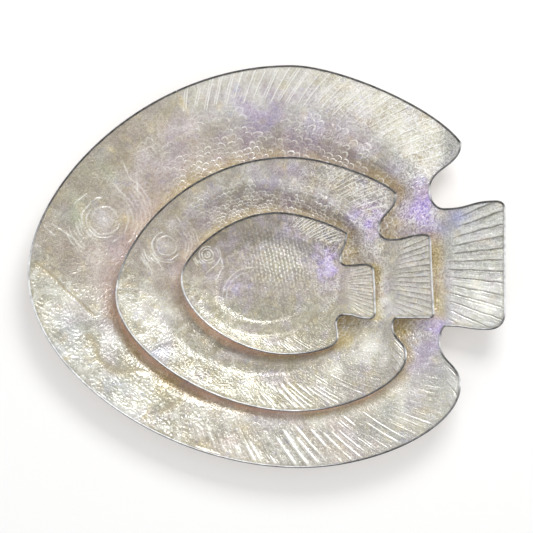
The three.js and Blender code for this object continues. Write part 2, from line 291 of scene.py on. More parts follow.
def ripple(across, along, seed):
    """Smooth waves of about one unit, from -1 to 1."""
    column = np.floor(across)
    row = np.floor(along)
    right = across - column
    up = along - row
    ease_right = right**3 * (right * (6 * right - 15) + 10)
    ease_up = up**3 * (up * (6 * up - 15) + 10)
    total = 0
    for i in (0, 1):
        for j in (0, 1):
            turn = 2 * np.pi * chance(column + i, row + j, seed)
            slope = np.cos(turn) * (right - i) + np.sin(turn) * (up - j)
            near_x = ease_right if i else 1 - ease_right
            near_y = ease_up if j else 1 - ease_up
            total = total + slope * near_x * near_y
    return 1.5 * total


def waves(spot, size, seed):
    """Ripples over the plan, with waves of a given size."""
    return ripple(spot.real / size, spot.imag / size, seed)


def drift(spot, size, seed):
    """A small wandering shift of the plan, for lines that are drawn by hand."""
    return waves(spot, size, seed) + 1j * waves(spot, size, seed + 1)


def crumple(across, along, seed):
    """Sharp folds in two sizes, from about -1 to 1."""
    coarse = 1 - 2.4 * np.abs(ripple(across, along, seed))
    fine = 1 - 2.4 * np.abs(ripple(2 * across, 2 * along, seed + 1))
    return 0.65 * coarse + 0.35 * fine


print("Crumple at one place:", round(float(crumple(np.array(0.3), np.array(0.7), 1)), 3))

# %% [markdown]
# ## What is pressed into the shell
#
# The relief is what a metalworker would call chasing: an eye in rings, curved lines round it, a mouth
# and gill covers, rows of round scales on the body, rays in the fins and a fan in the tail. Each one
# is a small sum that says how high the shell stands at a place of the plan. Adding them gives the
# whole relief. Lines are ridges about a millimetre wide on the largest dish, finer on the others.
# Rings are given by radius, start and stop angle, lashes and gills by first and last radius, gap and
# angles, and rays by their front and rear angle, widest and narrowest gap, and lean.

# %% Chased lines and rings
hand_out({
    "detail": [1.0, 0.72, 0.55],
    "eye": [-126.5 + 36.7j, -79.8 + 27.1j, -46.9 + 22.8j],
    "pupil": [2.4, 1.6, 0.9],
    "lashes": [(17, 33, 2.9, 186, 238), (15.5, 23, 2.4, 192, 242), (8.5, 12.5, 1.5, 195, 240)],
    "gills": [(22.5, 40, 3.3, -42, 58), (15, 26, 2.6, -35, 55), (9, 12, 1.5, -20, 40)],
    "side_fin": [(-26 - 22j, 52), (-18 - 16j, 36), (-11.3 - 11.2j, 23.6)],
    "scale": [5.6, 3.4, 2.8],
    "scale_ring": [0.085, 0.115, 0.17],
    "scale_rise": [0.7, 0.7, 0.35],
    "rays": [(122, 31, 3.9, 1.8, 5.4), (118, 32, 3.4, 1.9, 6), (112, 34, 3.4, 2.2, 6)],
    "ray_ends": [(126, 116), (64, 108), (70, 84)],
    "ray_faint": [0.5, 0.5, 0.2],
    "belly_lean": [1.4, 2, 2],
    "belly_rays": [1, 0.7, 0.7],
    "fin_base": [1.06, 1.05, 1.05],
    "tail_fan": [(72, 0.077, 148), (52, 0.062, 101), (34, 0.058, 64)],
    "tail_groove": [0.35, 0.2, 0.2],
    "crumple": [7.5, 5.5, 4.2],
    "grain": [0.26, 0.34, 0.2],
    "foil_rise": [12, 32, 12],
    "foil_share": [1, 1, 0.8],
    "line_paint": [0.55, 0.8, 0.9],
})
LARGE.rings = [(10.2, 5, 170), (11.6, 178, 352), (14.2, 140, 300), (17.8, 90, 200), (18.8, -75, 25)]
MEDIUM.rings = [(7.8, 0, 360), (11.3, 100, 330), (13.2, 200, 300)]
SMALL.rings = [(2.2, 0, 360), (4.6, 0, 360), (6.6, 60, 330)]
LARGE.lines = [
    (-174.8 + 32.4j, -164.5 + 22.4j),
    (-167.9 + 33.3j, -148 + 20j),
    (-100.8 + 77.1j, -99.5 + 55.5j),
    (-113 + 86j, -106 + 70j),
    (-119 + 66j, -108 + 52j),
    (-150 + 50j, -140 + 58j),
]
MEDIUM.lines = [(-92.6 + 23.2j, -80.6 + 5.6j), (-100 + 18j, -92 + 8j), (-72 + 52j, -66 + 42j)]
SMALL.lines = [
    (-48.3 + 8.1j, -41 + 13.7j),
    (-41 + 13.7j, -36.1 + 20.4j),
    (-41 + 0.7j, -34.5 + 12.9j),
    (-34.5 + 12.9j, -36.1 + 20.4j),
]
SIDE_FIN_ANGLES = (80, 195)
ARC_FADE = 12


def ridge(distance, width):
    """Rounded ridge across a distance from its middle."""
    return np.exp(-((distance / width) ** 2))


def from_segment(spot, start, end):
    """How far along a straight segment each spot lies, as a share, and its distance from it."""
    run = end - start
    away = spot - start
    share = np.clip((away * np.conj(run)).real / abs(run) ** 2, 0, 1)
    return share, np.abs(away - share * run)


def line_ridge(spot, start, end, width):
    """Straight line, thinner towards its ends."""
    share, distance = from_segment(spot, start, end)
    return ridge(distance, width) * np.sqrt(np.sin(np.pi * np.clip(share, 0.04, 0.96)))


def arc_ridge(spot, middle, radius, start, stop, width):
    """Part of a ring between two angles in degrees."""
    away = spot - middle
    turn = np.mod(np.degrees(np.angle(away)) - start, 360)
    span = stop - start
    ends = 1.0
    if span < 360:
        ends = ease(turn, 0, ARC_FADE) * fade(turn, span - ARC_FADE, span)
    return ridge(np.abs(away) - radius, width) * ends


def head_lines(dish, spot):
    """Eye, lashes, gills and mouth, drawn by hand, so none is quite even."""
    reach = 9 * dish.detail
    drawn = spot + 0.9 * dish.detail * drift(spot, reach, 23)
    firm = np.clip(0.65 + 0.7 * waves(1.3 * spot, reach, 25), 0.15, 1)
    width = 0.6 * dish.detail**0.4
    away = np.abs(drawn - dish.eye)
    eyeball = dish.rings[0][0]
    height = 0.2 * fade(away, 0.4 * eyeball, eyeball)
    height = height + 0.5 * fade(away, 0.3 * dish.pupil, dish.pupil)
    for radius, start, stop in dish.rings:
        height = height + firm * arc_ridge(drawn, dish.eye, radius, start, stop, width)
    for first, last, gap, start, stop in (dish.lashes, dish.gills):
        for number, radius in enumerate(np.arange(first, last, gap)):
            sway = 20 * (chance(number, 3, 27) - 0.5)
            strength = 0.35 + 0.5 * chance(number, 5, 27)
            arc = arc_ridge(drawn, dish.eye, radius, start + sway, stop + sway, width)
            height = height + strength * firm * arc
    for start, end in dish.lines:
        height = height + firm * line_ridge(drawn, start, end, width)
    middle, radius = dish.side_fin
    for share in (1.0, 0.86, 0.6):
        arc = arc_ridge(drawn, middle, share * radius, *SIDE_FIN_ANGLES, width)
        height = height + 0.55 * firm * share * arc
    return height


print("Rings on the largest eye:", len(LARGE.rings))

# %% [markdown]
# ### Scales and rays
#
# Scales lie in rows round the well. On the wall they are laid out on a log-polar plan, which keeps
# them round while they grow towards the rim, as on a real fish. Fin rays run almost straight out to
# the rim and lean back towards the tail. The gap between them narrows along the fin, so the number
# of a ray is found from its angle by a logarithm. The tail has overlapping steps instead of ridges.

# %% Scales, rays and tail fan
FAN_MIDDLE = 40.5


def scale_rims(along, across, pitch, ring, seed):
    """Staggered round scales, uneven and highest on their outward side, which the colours show as a
    painted highlight, from 0 to 1.
    """
    row_gap = 0.8 * pitch
    along = along + 0.4 * pitch * ripple(along / (2.3 * pitch), across / (2.3 * pitch), seed + 2)
    across = across + 0.4 * pitch * ripple(along / (2.9 * pitch), across / (2.9 * pitch), seed + 3)
    nearest = np.full(along.shape, np.inf)
    height = np.zeros(along.shape)
    first = np.floor(across / row_gap)
    for row in (first, first + 1):
        shift = 0.5 * np.mod(row, 2)
        column = np.round(along / pitch - shift)
        jog = 0.3 * (chance(column, row, seed + 1) - 0.5)
        right = along / pitch - column - shift - jog
        up = (across - row * row_gap) / pitch
        distance = np.hypot(right, up)
        facing = 0.15 + 0.85 * ease((up - 0.4 * right) / np.maximum(distance, 0.05), -0.35, 0.5)
        dome = 1.2 * ring * fade(distance, 0.1, 0.42)
        size = 0.36 + 0.12 * chance(column, row, seed + 4)
        rim = ridge(distance - size, ring) * facing
        kept = chance(column, row, seed) > 0.2
        here = (rim + dome) * kept * (0.35 + 0.65 * chance(column, row, seed + 5))
        height = np.where(distance < nearest, here, height)
        nearest = np.minimum(nearest, distance)
    return height


def ray_ridges(dish, where, seed):
    """Rays of the back and belly fins, the painted shade beside them and the hatching between."""
    front, rear, wide, narrow, lean = dish.rays
    share = where.share
    degrees = where.degrees
    side = np.sign(where.turn)
    swept = degrees + np.where(side > 0, lean, dish.belly_lean * lean) * share
    place = np.clip(swept, rear, front)
    gap = narrow + (wide - narrow) * (place - rear) / (front - rear)
    number = (front - rear) / (wide - narrow) * np.log(gap / narrow)
    whole = np.floor(number)

    def luck(draw):
        return chance(whole, side, seed + draw)

    # Distance from the nearest ray, which stands a little off its place and tilted
    aside = 0.5 + 0.45 * (luck(2) - 0.5)
    distance = (number - whole - aside) * np.radians(gap) * where.radius
    distance = distance + dish.detail * (3.2 * (luck(7) - 0.5)) * (share - 0.5)

    # Strength, length and width of each ray
    far_rear = (side < 0) * fade(degrees, 45, 70)
    strength = (0.5 + 0.5 * luck(0)) * (1 - 0.45 * far_rear)
    begin = 0.35 * luck(1) + 0.25 * far_rear
    end = 1.15 - 0.3 * luck(3)
    reach = ease(share, begin - 0.06, begin + 0.1) * fade(share, end - 0.1, end + 0.05)
    broad = (side < 0) * ease(degrees, 58, 88)
    width = 0.44 * dish.detail**0.3 * (1 + 2.1 * broad)
    paired = (luck(5) > 0.45) * (1 - broad)
    twin = 0.8 * ridge(distance - 4.5 * width, 0.8 * width) * paired

    # Where the fins have rays at all
    last = np.where(side > 0, *dish.ray_ends)
    clusters = np.where(side > 0, 1, ease(ripple(number / 4, share * 1.6, seed + 6), -0.3, 0.15))
    present = where.fin * (1 - where.tail) * fade(degrees, last - 12, last) * clusters
    present = present * ease(swept, rear, rear + 1) * fade(swept, front - 1, front)
    faint = dish.ray_faint * (fade(degrees, 55, 75) if dish is LARGE else 1)
    present = present * np.where(side > 0, 1 - faint, dish.belly_rays)

    # Ridges, painted shade beside them, flat facets on the belly and hatching between
    shown = strength * reach * present
    strokes = (ridge(distance, width) + twin) * shown
    grooves = ridge(distance + np.where(side > 0, 2.3, -2.0) * width, 0.8 * width) * shown
    facets = np.clip(1 + distance / (6 * width), 0, 1) ** 2 * (distance < 0) * broad * shown
    strokes = np.clip(strokes, 0, 1) * (1 - 0.55 * broad) + 0.5 * facets
    hatch = ripple(number * 6, share * 3 + whole, seed + 4) * where.fin * (1 - where.tail)
    return strokes, grooves, hatch * fade(degrees, front - 16, front - 4)


def tail_steps(dish, spot, seed):
    """Overlapping steps that fan out across the tail, and how light each of them is, with painted shade in
    the groove between steps.
    """
    root, gap, start = dish.tail_fan
    number = np.angle(spot - root) / gap + FAN_MIDDLE + 0.06 * waves(spot, 9, seed + 1)
    share = number - np.floor(number)
    groove = ridge(share - 1, 0.06) + ridge(share, 0.06)
    step = (1 - share) * ease(share, 0.0, 0.16) - 0.5 * groove
    fine = ripple(number * 6, spot.real / 9, seed)
    reach = ease(spot.real - 0.25 * np.maximum(spot.imag, 0), start - 2, start + 7)
    light = 0.25 * (chance(np.floor(number), 1, seed + 2) - 0.5) + 0.2 * fine
    # Painted shade in the groove between steps
    light = light - dish.tail_groove * groove
    return (step + 0.25 * fine) * reach, 1 + light * reach


print("Scale pitch in mm:", [dish.scale for dish in DISHES])

# %% [markdown]
# ### Zones of the fish
#
# Each kind of chasing and colour has its own zone. This step works out once, for every spot of a
# pane, where it lies: how far across the well, how near the rim, on which fin, and how far outside
# the rim of the dish that stands inside. The foil zone is the crumpled part below the snout, and a
# few smooth hollows run through it.

# %% Zones
FOIL_EDGE = 0.776 - 0.63j
HOLLOWS = [
    (-137 - 58j, -131 - 75j, 3.0),
    (-131 - 75j, -114 - 85j, 4.0),
    (-114 - 85j, -95 - 85j, 3.6),
    (-81 - 117j, -60 - 106j, 2.6),
    (-180 + 2j, -134 - 40j, 1.1),
]
RIM_STEP = 0.8
RIM_MARGIN = 40
BATCH = 2000
FAR_AWAY = 1e9
NO_INNER_DISH = 1e3


def rim_distance(dish, spot):
    """Distance from each spot to the nearest point of the rim, worked out in batches."""
    rim = rim_point(dish.rim, np.arange(0, dish.rim.arc[-1], RIM_STEP))
    nearest = np.full(spot.shape, FAR_AWAY)
    for part in np.array_split(np.arange(len(spot)), max(1, len(spot) // BATCH)):
        around = spot[part]
        middle = around.mean()
        close = np.abs(rim - middle) < np.abs(around - middle).max() + RIM_MARGIN
        if close.any():
            nearest[part] = np.abs(around[:, None] - rim[None, close]).min(axis=1)
    return nearest


def hollow_share(dish, spot):
    """Smooth hollows between the crumples under the largest head."""
    total = np.zeros(spot.shape)
    if dish is LARGE:
        sway = drift(spot, 16, 33)
        for start, end, width in HOLLOWS:
            _, distance = from_segment(spot + 0.8 * width * sway, start, end)
            total = np.maximum(total, ridge(distance, width))
    return total


def nest_gap(dish, spot):
    """How far each spot lies outside the rim of the dish that stands in this one."""
    if dish is SMALL:
        return np.full(spot.shape, NO_INNER_DISH)
    inner = MEDIUM if dish is LARGE else SMALL
    apart = np.array(dish.middle) - np.array(inner.middle)
    moved = spot + complex(apart[0], apart[1])
    return np.abs(moved) - rim_reach(inner.rim, np.angle(moved))


def zones(dish, spot):
    """Where each spot lies on the fish."""
    turn = np.angle(spot)
    radius = np.abs(spot)
    degrees = np.degrees(np.abs(turn))
    size = dish.well[0] / LARGE.well[0]
    ratio = radius / ellipse_edge(dish.well, turn)
    rim_gap = rim_distance(dish, spot)
    fin_start = dish.fin_base * ellipse_edge(dish.well, turn)
    tail_start = dish.tail_fan[2]
    sway = waves(spot, 22 * size, 37)
    below = (spot - dish.nose - dish.foil_rise * 1j * size) / FOIL_EDGE
    right = spot.real / dish.well[0]
    return SimpleNamespace(
        turn=turn,
        radius=radius,
        degrees=degrees,
        size=size,
        right=right,
        up=spot.imag / dish.well[1],
        ratio=ratio,
        floor=radius / ellipse_edge(dish.floor, turn),
        rim_gap=rim_gap,
        share=np.clip((radius - fin_start) / np.maximum(radius + rim_gap - fin_start, 4), 0, 1),
        fin=ease(radius / fin_start, 0.97, 1.05),
        tail=ease(spot.real, tail_start - 10, tail_start),
        head=ease(degrees, 124, 148) * ease(ratio, 0.35, 0.75),
        foil=ease(-below.imag / size + 12 * sway, -26, 26) * dish.foil_share,
        rear=ease(right + 0.06 * sway, 0.68, 0.84),
        rough=0.35 + 0.65 * ease(waves(spot, 15 * size, 39), -0.25, 0.3),
        hollow=hollow_share(dish, spot),
        nest_gap=nest_gap(dish, spot),
    )


print("Hollows under the largest head:", len(HOLLOWS))

# %% [markdown]
# ### The whole relief
#
# All the chasing is added up here, each part inside the zone where the fish has it, and the crumple
# goes over everything, strongest on the foil-like panes of the mouth, throat and belly. Near the rim
# the relief dies away, because the silver strip has to slide over a flat edge. The floors of the two
# larger dishes are only pressed downwards, because the next dish stands on them.

# %% Relief of a face pane
RELIEF_FLOOR = -0.55
RELIEF_TOP = 1.1
FLAT_EDGE = (STRIP_SEEN + 0.3, STRIP_SEEN + 2.2)


def body_scales(dish, spot, where):
    """Scales over the body, fading out over the brim and the head."""
    pitch = dish.scale
    ring = dish.scale_ring
    body = (1 - where.head) * (1 - where.tail)
    body = body * (1 - 0.8 * where.foil) * (1 - where.rear)
    if dish is SMALL:
        tilted = spot * np.exp(0.35j) / pitch + 0.35 * drift(spot, 7, 63)
        row = np.floor(tilted.imag)
        column = 0.8 * tilted.real + 0.5 * np.mod(row, 2) + 0.4 * (tilted.imag - row)
        rims = ridge(column - np.floor(column) - 0.5, ring) * ridge(tilted.imag - row - 0.5, 2 * ring)
        patchy = 0.15 + ridge(spot.real - 13, 22) * ridge(spot.imag - 18, 17)
    else:
        squash = math.sqrt(dish.well[0] / dish.well[1])
        laid = spot.real / squash + 1j * spot.imag * squash
        around = 0.8 * math.sqrt(dish.well[0] * dish.well[1])
        along = around * np.angle(laid)
        across = around * np.log(np.maximum(np.abs(laid), 1) / around)
        inner = scale_rims(spot.real, spot.imag, pitch, ring, 6)
        outer = scale_rims(along, across, pitch, ring, 5)
        rims = np.where(where.floor < 0.9, inner, outer)
        patchy = 0.5 + 0.6 * waves(spot, 5 * pitch, 8)
        patchy = patchy + 0.6 * fade(where.ratio, 0.8, 0.95) + 0.2 * (dish is MEDIUM)
        body = body * ease(where.up, -0.75, -0.45)
    return rims * np.clip(patchy, 0.15, 1) * fade(where.ratio, 1.0, 1.12) * body


def pressed_relief(dish, spot, where):
    """Height of the relief above the plain face, in millimetres; also notes what to paint."""
    fold = dish.crumple
    foil = where.foil

    # Crumple of the sheet, and where it is calmer
    warped = spot * np.exp(0.6j) + 0.25 * fold * waves(spot, fold, 13)
    bulge = waves(warped, 2.6 * fold, 9)
    folds = crumple(warped.real / (0.6 * fold) + 0.5 * bulge, warped.imag / (0.45 * fold), 11)
    grain = crumple(warped.real / (0.24 * fold), warped.imag / (0.5 * fold), 17)
    smooth = 0.85 * where.hollow
    belly = ease(-where.up, 0.3, 0.6) * ease(where.right, -0.55, -0.15)
    rough = where.rough * (1 - smooth) * (1 - 0.5 * where.tail) * (1 - 0.5 * belly)
    crinkle = where.rear * (1 - where.tail) * (1 - where.fin)

    # Chasing on top of it
    rays, where.grooves, where.hatch = ray_ridges(dish, where, 3)
    scales = body_scales(dish, spot, where)
    lines = head_lines(dish, spot)
    steps, light = tail_steps(dish, spot, 7)
    upper_half = ease(where.up, -0.35, 0)
    height = (0.12 + 0.9 * foil) * (0.55 * bulge * (1 - smooth) + 0.4 * folds * rough)
    grainy = dish.grain * (1 - 0.5 * where.fin) + 0.25 * foil + 0.4 * crinkle
    if dish is SMALL:
        grainy = grainy + 0.3 * ridge(where.floor - 1.1, 0.25)
    height = height + grainy * grain * rough - 0.4 * smooth + 0.1 * where.hatch
    height = height + (0.6 + 0.2 * upper_half) * rays + dish.scale_rise * scales + 0.55 * lines
    height = np.clip(height + 0.75 * steps * where.tail, RELIEF_FLOOR, RELIEF_TOP)

    # What the colours need to know, with painted highlights on lines, scales and crinkle tops
    where.tail_light = 1 + (light - 1) * where.tail
    # Painted highlights on scales, stronger next to the inner dish's rim
    flecks = scales * (1 + 0.8 * fade(where.nest_gap, 6, 22))
    ray_paint = (0.95 + 0.45 * upper_half) * rays
    marks = np.maximum(np.maximum(ray_paint, dish.line_paint * lines), flecks)
    where.marks = np.clip(marks, 0, 1)
    # Painted highlights on the tops of the crumple and of the rear crinkle
    rear_fin = where.fin * fade(np.abs(where.turn - 0.8), 0.3, 0.6)
    grain_crests = ease(grain, 0.4, 0.8) * (crinkle + 0.5 * rear_fin)
    crested = np.maximum(ease(folds, 0.45, 0.9) * foil, grain_crests)
    where.crests = np.clip(crested * rough, 0, 1) * ease(where.nest_gap, 4, 12)
    # Share of painted crinkle highlights that the shader lays over the colour
    silky = 0.33 - 0.06 * foil + 0.35 * where.rear * upper_half + 0.4 * rear_fin
    where.silk = np.clip(silky * (1 - smooth) * (1 - 0.4 * where.tail), 0, 1)

    # A floor that carries a dish is only pressed down
    if dish is not SMALL:
        sunk = fade(where.floor, 0.96, 1.12)
        height = np.minimum(height * (1 - 0.5 * sunk) - 0.3 * sunk, RELIEF_TOP * (1 - sunk))
    return dish.detail * height * ease(where.rim_gap, *FLAT_EDGE)


print("Relief from", RELIEF_FLOOR, "to", RELIEF_TOP, "mm")

# %% [markdown]
# ## Colours of the shell
#
# Mother-of-pearl has no paint: thin layers split the light into pink, lilac, green and gold. That
# shift is lost in most file formats, so the colours are laid down by place instead, as soft zones in
# a colour attribute: beige on the head, lilac up the back wall, a painted violet glint where the tail
# begins, cream on the belly and silver on the fins. Painted light and shade lie in the same
# attribute: painted highlights on the relief, painted shade on walls and sides turned from the light,
# and painted shadow and light round the foot of each wall where the next dish stands. The shader
# then breaks them up with finer pearly mottling. Each blush is a soft round patch, given by its
# middle and its radius after the name of its colour. Later ones lie over earlier ones.

# %% Pearl colours
SILVER = np.array([0.485, 0.485, 0.455])
CREAM = np.array([0.415, 0.395, 0.30])
PALE = np.array([0.95, 0.945, 0.875])
IVORY = np.array([0.80, 0.78, 0.69])
MIST = np.array([0.55, 0.58, 0.60])
BEIGE = np.array([0.405, 0.355, 0.295])
MAUVE = np.array([0.45, 0.40, 0.35])
LILAC = np.array([0.48, 0.42, 0.55])
BLUSH = np.array([0.60, 0.54, 0.48])
VIOLET = np.array([0.44, 0.33, 0.74])
PINK = np.array([0.62, 0.53, 0.50])
GLOW = np.array([0.62, 0.50, 0.47])
BLUE = np.array([0.33, 0.36, 0.62])
# The next two colours are used only as painted shadow.
ROSE = np.array([0.88, 0.61, 0.47])
RUST = np.array([0.50, 0.385, 0.24])
GOLD = np.array([0.72, 0.60, 0.36])
OLIVE = np.array([0.45, 0.365, 0.17])
GREY = np.array([0.43, 0.40, 0.33])
HONEY = np.array([0.47, 0.42, 0.30])
UMBER = np.array([0.30, 0.26, 0.20])
STRAW = np.array([0.40, 0.37, 0.27])
SAGE = np.array([0.44, 0.45, 0.35])
AMBER = np.array([0.53, 0.42, 0.18])
ORCHID = np.array([0.68, 0.58, 0.90])
LOW_SPOT_SHADE = np.array([0.18, 0.21, 0.30])
hand_out({
    "ground": [SILVER, 0.45 * SILVER + 0.55 * MAUVE, 0.15 * SILVER + 0.85 * MAUVE],
    "head_beige": [1, 0.75, 1],
    # Paler tone of the walls, partly painted light
    "wall_colour": [BLUSH, BLUSH, MAUVE],
    "tail_tone": [0.9, 0.9, 1.08],
    # Painted light and shade: where the upper walls' shade starts, the light on the left and the shadow's
    # dark edge
    "shade_start": [0, 0.6, 0.6],
    "left_colour": [GLOW, PINK, PINK],
    "rust_share": [1, 0.5, 0.5],
})
# Several blushes are painted light, not the shell's own tint: the pale and ivory patches are painted
# highlights, the violet and orchid patches by the tail are painted glints, the beige patches on the upper
# walls are painted shade and the amber patches in the notches are painted shadow.
LARGE.blushes = [
    (VIOLET, [(126 + 48j, 22), (138 - 54j, 12)]),
    (BLUE, [(154 + 36j, 11)]),
    (LILAC, [(0 + 116j, 36), (60 + 100j, 30)]),
    (PINK, [(-95 + 66j, 20), (-60 + 100j, 22), (-120 - 2j, 18)]),
    (LILAC, [(120 - 75j, 22)]),
    (PALE, [(176 - 32j, 18), (-160 - 33j, 13), (-100 - 98j, 12), (-122 - 62j, 9), (-105 - 112j, 12)]),
    (MIST, [(-158 - 62j, 20), (-118 - 104j, 20)]),
    (GOLD, [(-111 + 37j, 5)]),
    (AMBER, [(-76 - 93j, 11)]),
    (BLUSH, [(-30 - 138j, 34), (60 - 138j, 34)]),
    (IVORY, [(120 - 112j, 24)]),
    (AMBER, [(112 - 53j, 9), (113 - 50j, 9), (104 + 35j, 9)]),
    (BEIGE, [(70 + 97j, 18)]),
    (SAGE, [(-150 + 42j, 16), (-128 + 74j, 18)]),
]
MEDIUM.blushes = [
    (VIOLET, [(81 + 48j, 13)]),
    (PALE, [(98 - 20j, 8), (80 - 54j, 12), (84 - 60j, 10)]),
    (IVORY, [(48 - 86j, 13)]),
    (PALE, [(-85 - 26j, 9)]),
    (LILAC, [(20 + 80j, 20)]),
    (BLUE, [(-85 - 57j, 9)]),
    (STRAW, [(-40 - 82j, 28), (20 - 90j, 30)]),
    (IVORY, [(-101 - 22j, 13), (55 - 70j, 10)]),
    (AMBER, [(66 - 43j, 10), (68 - 39j, 11), (67 + 24j, 8)]),
    (IVORY, [(-90 - 42j, 15)]),
    (BEIGE, [(33 + 76j, 15), (62 + 72j, 12)]),
]
SMALL.blushes = [
    (VIOLET, [(47 + 20j, 9), (51 + 8j, 8)]),
    (ORCHID, [(46 + 19j, 6), (50 + 10j, 6)]),
    (LILAC, [(21 + 40j, 13), (-24 - 3j, 11)]),
    (CREAM, [(13 + 18j, 17)]),
    (BEIGE, [(33 + 45j, 9)]),
]


def tint(colours, towards, share):
    """Moves colours, in place, towards another one by a share from 0 to 1."""
    share = np.clip(share, 0, 1)[:, None]
    colours *= 1 - share
    colours += towards * share


def dim(colours, factor):
    """Multiplies colours, in place, by one factor for each spot."""
    colours *= factor[:, None]


def seam_stain(dish, spot, where):
    """Patches of amber glue that show along the seams."""
    total = np.zeros(spot.shape)
    wander = 2.2 * waves(spot, 9, 57)
    for end in dish.panes.values():
        if end != "notch":
            away = np.angle(spot * np.exp(-1j * math.radians(end))) * where.radius
            total = np.maximum(total, ridge(away + wander, 2.0 * where.size))
    return total * ease(waves(spot, 14, 59), -0.1, 0.5) * where.fin


def tint_nest(dish, where, colours):
    """Painted warm light and painted shadow round the foot of the wall, where the next dish stands."""
    gap = where.nest_gap / where.size
    around = np.degrees(np.mod(where.turn, 2 * np.pi))
    shaded = 4.5 + 7 * ridge(around - 230, 42)
    foot = ease(gap, -24, -6)
    # Painted light: gold next to the inner dish's rim
    tint(colours, GOLD, 0.75 * fade(gap, 2, 14) * foot)
    # Painted shadow: olive beside the inner dish's tail
    stern = ease(where.right, 0.5, 0.68) * foot
    tint(colours, OLIVE, 0.75 * fade(gap, 5, 15) * stern)
    # Painted light on the left side, under the inner dish's rim
    left = ease(around, 140, 160) * fade(around, 195, 210) * foot
    tint(colours, dish.left_colour, 0.8 * fade(gap, 6, 20) * left)
    # Painted shadow of the inner dish's rim on the lower side, warm like light through the shell
    under = ease(around, 190, 205) * fade(around, 305, 325) * foot
    tint(colours, ROSE, fade(gap, shaded - 2, shaded + 1.5) * under)
    # Painted light on the wall beyond that shadow
    beyond = ridge(gap - shaded - 6, 4) * ease(around, 235, 250) * under
    tint(colours, IVORY, 0.6 * beyond)
    # A darker painted edge along that shadow
    outer_edge = ease(gap, 0.35 * shaded, 0.8 * shaded) * fade(gap, shaded - 1, shaded + 1.5)
    tint(colours, RUST, outer_edge * under * dish.rust_share)


def pearl_colours(dish, spot, where, height):
    """Colour of every spot of a pane, from the broad zones to the finest detail, with painted light and
    shade.
    """
    across = spot.real / (30 * where.size)
    along = spot.imag / (30 * where.size)
    degrees = where.degrees
    ratio = where.ratio
    wall = fade(ratio + 0.02 * ripple(2 * across, 2 * along, 45), 0.96, 1.07)
    upper = ease(where.up, 0.1, 0.6)
    lower = ease(-where.up, 0.1, 0.6)
    patches = ease(ripple(1.7 * across, 1.7 * along, 41), -0.4, 0.4)
    colours = np.repeat(dish.ground[None, :], len(spot), axis=0)

    # Broad zones
    tint(colours, BEIGE, dish.head_beige * ease(degrees, 95, 140) * (1 - where.foil))
    # Paler, warmer tone on the walls: partly the shell's colour, partly painted light on walls that their
    # slope darkens
    tint(colours, dish.wall_colour, 0.55 * wall)
    # Painted shade: the lower side, which the key light reaches most, is darker
    tint(colours, 0.88 * dish.ground, lower)
    tint(colours, dish.tail_tone * dish.ground, where.tail)
    if dish is LARGE:
        back_fin = where.fin * upper * (1 - where.tail) * ease(degrees, 125, 100)
        tint(colours, IVORY, back_fin * (0.9 - 0.3 * ease(degrees, 60, 80)))
    tint(colours, CREAM, 0.9 * where.foil)
    # Painted highlight and painted shade of the foil's crumple, as pale and grey facets
    facet = ripple(3.1 * across + 0.6 * patches, 3.6 * along, 49) + 0.4 * ripple(7 * across, 6 * along, 50)
    shown = where.foil * ease(where.nest_gap, 6, 14) * (1 - where.hollow)
    tint(colours, PALE, 0.5 * shown * ease(facet, 0.15, 0.4))
    tint(colours, GREY, 0.6 * shown * ease(-facet, 0.1, 0.4))
    tint(colours, LILAC, 0.35 * wall * upper * patches)
    # Painted shade on the upper walls, which face away from the key light
    facing_away = wall * upper * ease(ratio, 0.6, 0.85) * ease(where.right + dish.shade_start, -0.2, 0.4)
    dim(colours, 1 - 0.34 * facing_away)
    if dish is SMALL:
        tint(colours, CREAM, 0.7 * lower)
        # Painted shade on the small dish's upper brim and floor, and painted light in a ring near the top
        # of its wall
        dim(colours, 1 - 0.3 * upper * ease(ratio, 0.9, 1.05))
        dim(colours, 1 - 0.12 * fade(ratio, 0.6, 0.75) + 0.15 * ridge(ratio - 0.91, 0.08))
    else:
        tint_nest(dish, where, colours)

    # Blushes and clouds
    for colour, places in dish.blushes:
        for middle, radius in places:
            tint(colours, colour, ridge(np.abs(spot - middle), radius) * (0.3 + 0.7 * patches))
    tint(colours, OLIVE, 0.18 * ease(ripple(across * 1.3 + 7, along * 1.3, 43), 0.1, 0.6))
    tint(colours, LILAC, 0.25 * ease(ripple(across * 1.1, along * 1.1 + 5, 47), 0.1, 0.6))
    tint(colours, GOLD, 0.25 * ease(ripple(across * 2.2, along * 2.2, 53), 0.35, 0.7))

    # Stains, smooth hollows and the tail's tone, then painted light: highlights on the tops of the
    # folds, chased lines and raised relief, and shade beside rays, between tail steps and in low spots
    tint(colours, GOLD, 0.55 * seam_stain(dish, spot, where))
    tint(colours, HONEY, 0.9 * where.hollow)
    tint(colours, PALE, 0.42 * where.crests)
    tint(colours, UMBER, 0.4 * where.grooves)
    dim(colours, 0.85 + 0.15 * where.rough + 0.12 * where.hatch)
    dim(colours, where.tail_light)
    # Painted highlights on raised relief and chased lines, painted shade in the relief's low spots
    raised = np.clip(height / (0.6 * dish.detail), -1, 1)
    tint(colours, PALE, 0.3 * np.clip(raised, 0, 1) + 0.75 * where.marks)
    calm = 1 - 0.55 * where.foil - 0.4 * where.hollow
    low_spots = (calm * np.clip(raised, -1, 0.3))[:, None] * LOW_SPOT_SHADE
    return np.clip(colours * (1 + low_spots), 0.02, 0.95)


print("Colours that blush each dish:", [len(dish.blushes) for dish in DISHES])

# %% [markdown]
# ## Materials
#
# Lacquered shell is part mirror and part milk: a Principled shader that is partly metallic, with a
# clear coat for the lacquer. A noise ramp mottles the colour in pearly pastels and a fine bump gives
# the crinkle of the shell below the size of the mesh; the same crinkle is laid over the colour as
# painted highlights. The pattern reads Object coordinates, so that it stays on the piece.

# %% Node helpers and the shell face
BUMP_DEPTH = 0.3 * MM


